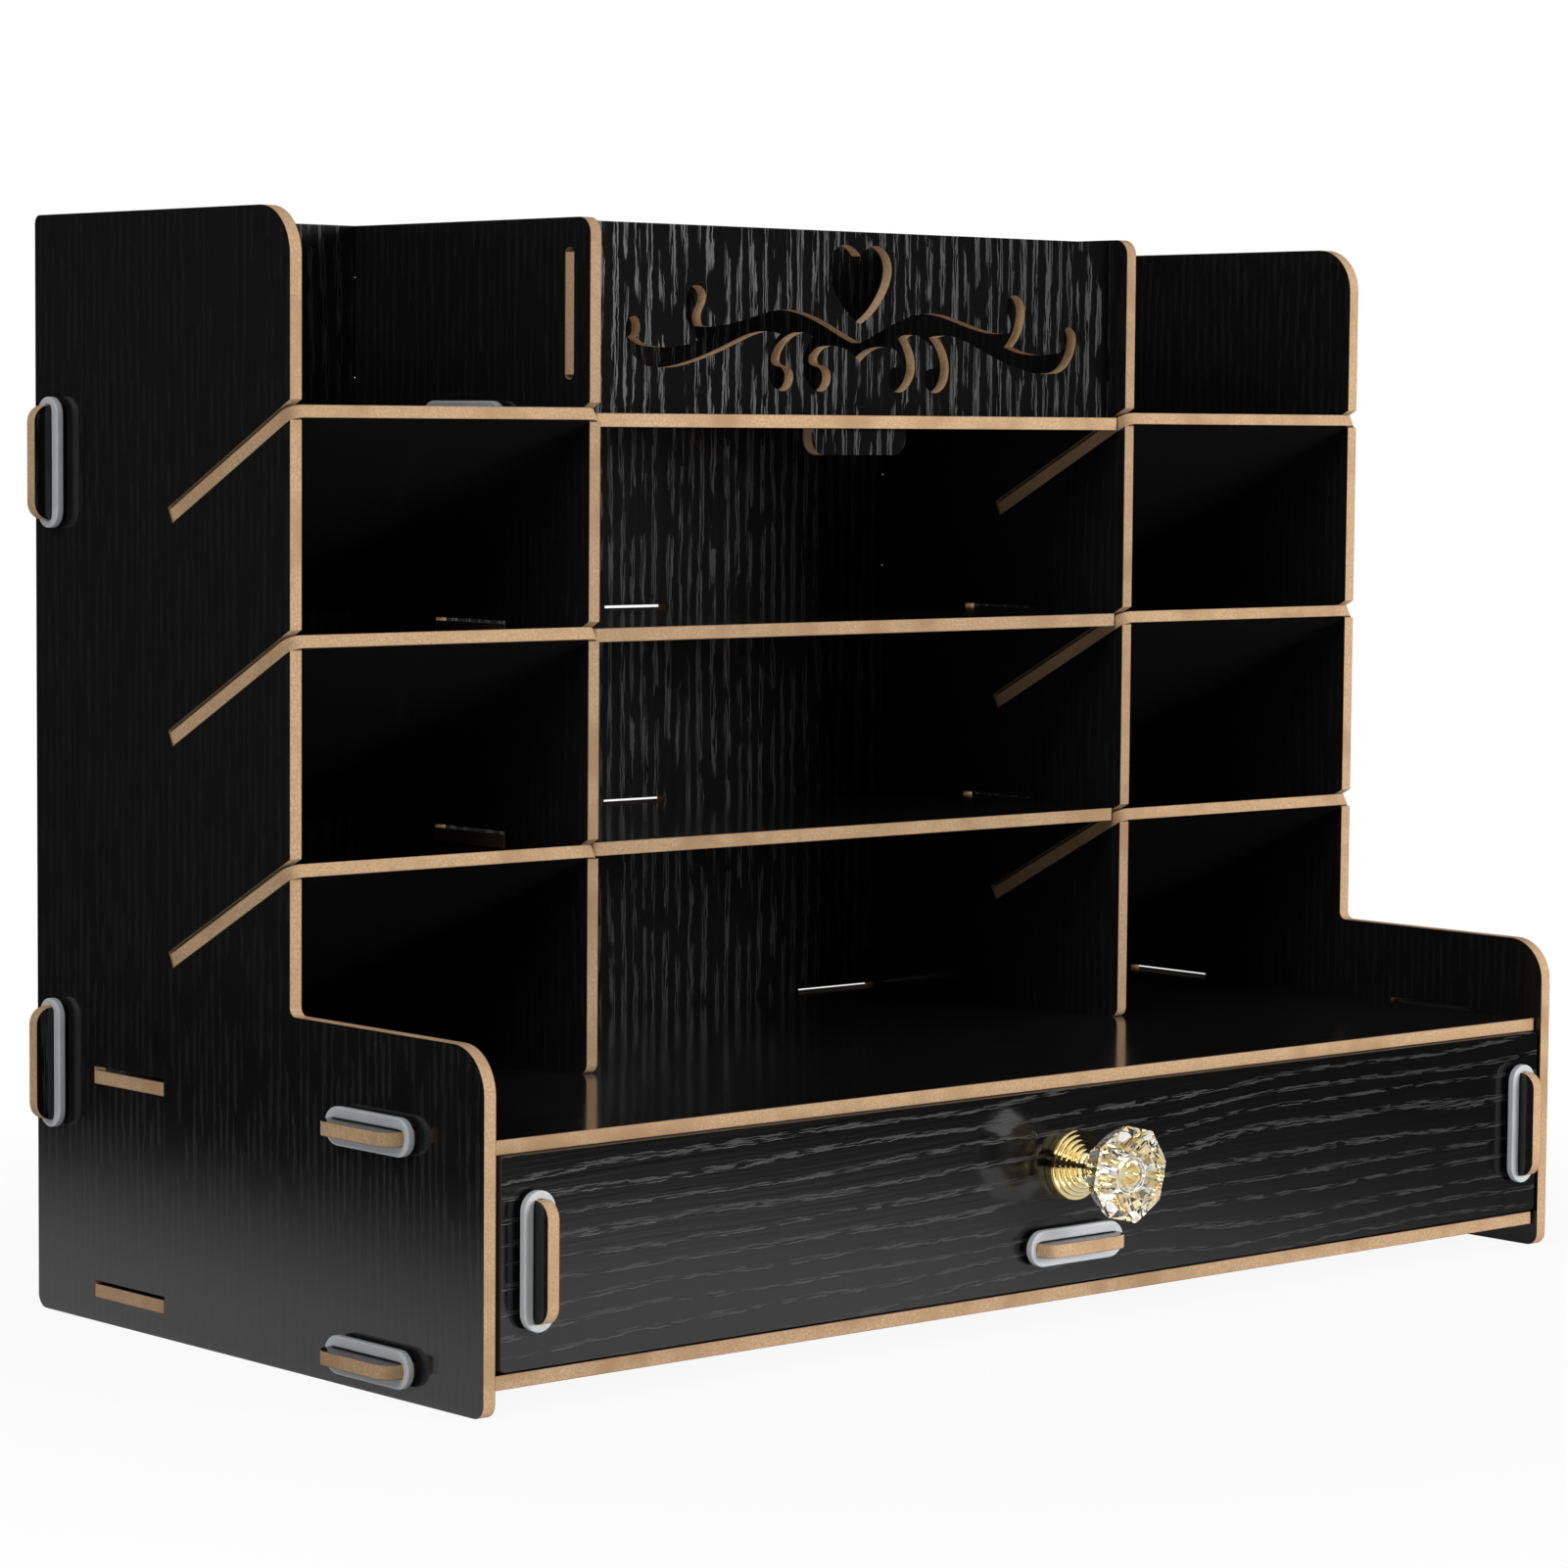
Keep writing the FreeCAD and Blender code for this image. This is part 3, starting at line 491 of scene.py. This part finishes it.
def turn_to(long_way, short_way):
    """Euler turn that lays a ring's length and width along two directions."""
    first, second = Vector(long_way), Vector(short_way)
    return Matrix((first, second, first.cross(second))).transposed().to_euler()


def centre(node):
    """The middle of a node's box."""
    low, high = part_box(node)
    return (low + high) / 2


stand_off = 1.5 * mm
side_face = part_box("side_left")[0].x - stand_off
divider_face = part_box("divider_left")[0].x - stand_off
front_tab_y, shelf_tab_y = -45.5 * mm, 49.9 * mm
back_tab_heights, drawer_tab_height = (74.0 * mm, 249.0 * mm), 41.1 * mm
back_y = centre("back_panel").y
cabinet_places = []
for hand in (1, -1):
    upright = turn_to((0, 0, 1), (0, hand, 0))
    lying = turn_to((0, -hand, 0), (0, 0, 1))
    for z in back_tab_heights:
        cabinet_places.append(((hand * side_face, back_y, z), upright))
    for node in ("deck", "base_board"):
        cabinet_places.append(((hand * side_face, front_tab_y, centre(node).z), lying))
    cabinet_places.append(((hand * divider_face, shelf_tab_y, centre("middle_shelf_3").z), lying))
drawer_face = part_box("drawer_front")[0].y
drawer_places = [((centre(node).x, drawer_face - stand_off, drawer_tab_height), turn_to((0, 0, 1), (-1, 0, 0)))
                 for node in ("drawer_side_left", "drawer_side_right")]
drawer_places.append(((0, drawer_face - stand_off, centre("drawer_floor").z), turn_to((1, 0, 0), (0, 0, 1))))
ring_sizes = {"Ring length": 37.8 * mm, "Ring width": 10.6 * mm, "Thickness": 2.2 * mm, "Hole length": 33.4 * mm,
              "Hole width": 4.4 * mm, "Edge round": 0.3 * mm}
for name, places, body, stands_for in (
        ("snap_rings_cabinet", cabinet_places, "cabinet", ("rings_left_side", "rings_right_side", "rings_dividers")),
        ("snap_rings_drawer", drawer_places, "drawer", ("rings_drawer",))):
    rings = baked_rings(name, places, snap_ring, ring_sizes, ring_finish)
    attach(rings, body)
    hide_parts(*stands_for)
    print(name, len(places), "rings", len(rings.data.polygons), "faces")

# %% [markdown]
# ## The knob
# A gold beehive rosette, and a cut crystal on a gold stud. The rosette and the stud are turned: a profile is
# swung round the knob's axis. The crystal is built facet by facet, with a bore for the stud. Its rear facets
# are silvered, with a gold wash on every second one next to the rosette, and the rim of the bore is ground matt.
# That gives the crystal its white and gold sparkle and the pale ring in its middle.


# %% Gold, crystal and steel
def metal_finish(name, colour, roughness, grain_scale, depth):
    """Polished metal with faint turning marks."""
    finish, tree, shader = new_finish(name)
    place = put(tree, "ShaderNodeTexCoord")
    marks = put(tree, "ShaderNodeTexNoise", {"Vector": place.outputs["Object"], "Scale": grain_scale,
                                             "Detail": 2.0}).outputs["Fac"]
    tree.links.new(colour_mix(tree, marks, tuple(0.94 * v for v in colour) + (1.0,), colour + (1.0,)),
                   shader.inputs["Base Color"])
    shader.inputs["Metallic"].default_value = 1.0
    tree.links.new(put(tree, "ShaderNodeMapRange", {0: marks, 1: 0.3, 2: 0.7, 3: roughness * 0.7,
                                                    4: roughness * 1.3}).outputs[0], shader.inputs["Roughness"])
    bump = put(tree, "ShaderNodeBump", {"Strength": 0.3, "Distance": depth, "Height": marks})
    tree.links.new(bump.outputs[0], shader.inputs["Normal"])
    return finish


gold = metal_finish("polished_gold", (0.93, 0.79, 0.44), 0.06, 900.0, 0.02 * mm)
steel = metal_finish("screw_steel", (0.62, 0.62, 0.64), 0.30, 1500.0, 0.03 * mm)


def glass_finish(name, colour, metal, clear, roughness):
    """Cut glass with a faint unevenness of polish; metal is the share of a mirror wash on it."""
    finish, tree, shader = new_finish(name)
    shader.inputs["Base Color"].default_value = colour + (1.0,)
    shader.inputs["Metallic"].default_value = metal
    shader.inputs["Transmission Weight"].default_value = clear
    shader.inputs["Roughness"].default_value = roughness
    shader.inputs["IOR"].default_value = 1.47
    place = put(tree, "ShaderNodeTexCoord")
    polish = put(tree, "ShaderNodeTexNoise", {"Vector": place.outputs["Object"], "Scale": 120.0, "Detail": 1.0})
    bump = put(tree, "ShaderNodeBump", {"Strength": 0.15, "Distance": 0.05 * mm, "Height": polish.outputs["Fac"]})
    tree.links.new(bump.outputs[0], shader.inputs["Normal"])
    return finish


crystal_finish = glass_finish("clear_crystal", (0.99, 0.985, 0.975), 0.0, 0.985, 0.0)
washed_finish = glass_finish("gold_washed_crystal", (0.99, 0.80, 0.42), 0.75, 1.0, 0.03)
bright_finish = glass_finish("silvered_crystal", (0.98, 0.97, 0.96), 0.75, 1.0, 0.03)
ground_finish = glass_finish("ground_crystal", (0.98, 0.98, 0.97), 0.0, 0.3, 0.35)
print("knob finishes ready")


# %% Turned pieces
knob_z = centre("knob_rosette").z


def turned(name, profile, finish, steps=96):
    """Swings a profile of (radius, distance in front of the drawer), in mm, round the knob's axis."""
    work = bmesh.new()
    loops = []
    for radius, out in profile:
        if radius == 0:
            loops.append([work.verts.new((0, drawer_face - out * mm, knob_z))])
            continue
        loops.append([work.verts.new((radius * mm * math.sin(2 * math.pi * k / steps), drawer_face - out * mm,
                                      knob_z + radius * mm * math.cos(2 * math.pi * k / steps)))
                      for k in range(steps)])
    for low, high in zip(loops, loops[1:]):
        for k in range(steps):
            ring = [low[k % len(low)], low[(k + 1) % len(low)], high[(k + 1) % len(high)], high[k % len(high)]]
            corners = list(dict.fromkeys(ring))
            if len(corners) > 2:
                work.faces.new(corners)
    bmesh.ops.recalc_face_normals(work, faces=work.faces)
    for face in work.faces:
        face.smooth = True
    mesh = bpy.data.meshes.new(name)
    work.to_mesh(mesh)
    work.free()
    mesh.materials.append(finish)
    mesh.set_sharp_from_angle(angle=math.radians(40))
    made = bpy.data.objects.new(name, mesh)
    bpy.context.scene.collection.objects.link(made)
    return made


def bead(radius, low, high, bulge, steps=8):
    """A rounded step of the beehive."""
    middle, half = (low + high) / 2, (high - low) / 2
    return [(radius - bulge + bulge * math.sin(math.pi * k / steps), middle - half * math.cos(math.pi * k / steps))
            for k in range(steps + 1)]


foot_radius, rim, beads, bead_rise, bead_step, bulge = 10.3, 2.6, 5, 0.95, 1.25, 0.45
profile = [(0, 0), (10.1, 0), (foot_radius, 0.2), (foot_radius, rim)]
for n in range(beads):
    profile += bead(foot_radius - bead_step * n, rim + bead_rise * n, rim + bead_rise * (n + 1), bulge)
neck = [(4.2, 7.5), (3.7, 8.1), (3.5, 9.0), (3.6, 10.2), (4.1, 11.2), (5.1, 12.0), (6.2, 12.4), (6.3, 12.58),
        (0, 12.58)]
rosette = turned("knob_beehive", profile + neck, gold)
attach(rosette, "drawer")
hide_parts("knob_rosette")
stud = turned("knob_gold_stud", [(0, 12.62), (4.0, 12.62), (4.0, 22.2), (3.8, 22.6), (3.3, 22.8), (2.8, 22.5),
                                 (2.3, 20.6), (1.0, 19.6), (0, 20.8)], gold)
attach(stud, "drawer")
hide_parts("knob_stud")
screw = turned("knob_fixing_screw", [(0, -6.0), (2.6, -6.0), (3.4, -5.7), (3.8, -5.0), (3.8, -4.02), (1.9, -4.02),
                                     (1.9, -0.02), (0, -0.02)], steel, steps=64)
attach(screw, "drawer")
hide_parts("knob_screw")
for piece in (rosette, stud, screw):
    print(piece.name, len(piece.data.polygons), "faces")


# %% Crystal
def crystal_mesh():
    """Eight-sided crystal: two rows of facets behind a narrow belt, a sloping crown, a flat table, and a bore."""
    sides, turn = 8, math.radians(-9.5)
    clear, washed, ground, bright = 0, 1, 2, 3
    work = bmesh.new()

    def loop(radius, out, count=sides):
        turns = [turn + 2 * math.pi * k / count for k in range(count)]
        return [work.verts.new((radius * mm * math.sin(a), drawer_face - out * mm,
                                knob_z + radius * mm * math.cos(a))) for a in turns]

    def facet(finish, *corners):
        work.faces.new(corners).material_index = finish

    seat, belt_radius = 12.64, 14.5
    back, waist, belt_back = loop(6.6, seat), loop(11.4, 17.4), loop(belt_radius, 24.0)
    belt_front, table = loop(belt_radius, 25.2), loop(6.8, 28.8)
    for k in range(sides):
        n = (k + 1) % sides
        facet(washed if k % 2 else bright, back[k], back[n], waist[n], waist[k])
        facet(bright, waist[k], waist[n], belt_back[n], belt_back[k])
        facet(clear, belt_back[k], belt_back[n], belt_front[n], belt_front[k])
        facet(clear, belt_front[k], belt_front[n], table[n], table[k])
    facet(clear, *table)
    # The bore has four steps to each side of the crystal; its end has two ground rings
    bore_radius, bore_end, per_side = 5.2, 23.0, 4
    count, half_side = per_side * sides, per_side // 2
    mouth = loop(bore_radius, seat, count)
    rings = [loop(radius, bore_end, count) for radius in (bore_radius, 4.8, 4.2, 3.95)]
    for k in range(count):
        n, corner = (k + 1) % count, k // per_side
        facet(clear, mouth[k], mouth[n], rings[0][n], rings[0][k])
        for finish, wide, narrow in zip((ground, clear, ground), rings, rings[1:]):
            facet(finish, wide[k], wide[n], narrow[n], narrow[k])
        facet(washed, mouth[k], mouth[n], back[(corner + (k % per_side) // half_side) % sides])
        if k % per_side == half_side - 1:
            facet(washed, mouth[n], back[corner], back[(corner + 1) % sides])
    facet(clear, *rings[-1])
    bmesh.ops.recalc_face_normals(work, faces=work.faces)
    mesh = bpy.data.meshes.new("knob_cut_crystal")
    work.to_mesh(mesh)
    work.free()
    for finish in (crystal_finish, washed_finish, ground_finish, bright_finish):
        mesh.materials.append(finish)
    return mesh


crystal = bpy.data.objects.new("knob_cut_crystal", crystal_mesh())
bpy.context.scene.collection.objects.link(crystal)
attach(crystal, "drawer")
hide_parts("knob_crystal")
print("crystal faces", len(crystal.data.polygons))

# %% [markdown]
# ## The drawer front's lower edge
# On the photographed organizer the drawer front ends about a millimetre over the base board. The construction model
# leaves more room there, so the lower edge is let down on a copy of its mesh, with all else as it was.

# %% Drawer front
let_down, edge_zone = 1.4 * mm, 2.0 * mm
front_mesh = nodes["drawer_front"].data.copy()
front_mesh.name = "drawer_front_board"
front_mesh.transform(nodes["drawer_front"].matrix_world)
lowest = min(corner.co.z for corner in front_mesh.vertices)
for corner in front_mesh.vertices:
    if corner.co.z < lowest + edge_zone:
        corner.co.z -= let_down
front_board = bpy.data.objects.new("drawer_front_board", front_mesh)
bpy.context.scene.collection.objects.link(front_board)
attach(front_board, "drawer")
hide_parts("drawer_front")
print("drawer front faces", len(front_mesh.polygons), "lower edge", round((lowest - let_down) / mm, 2), "mm")
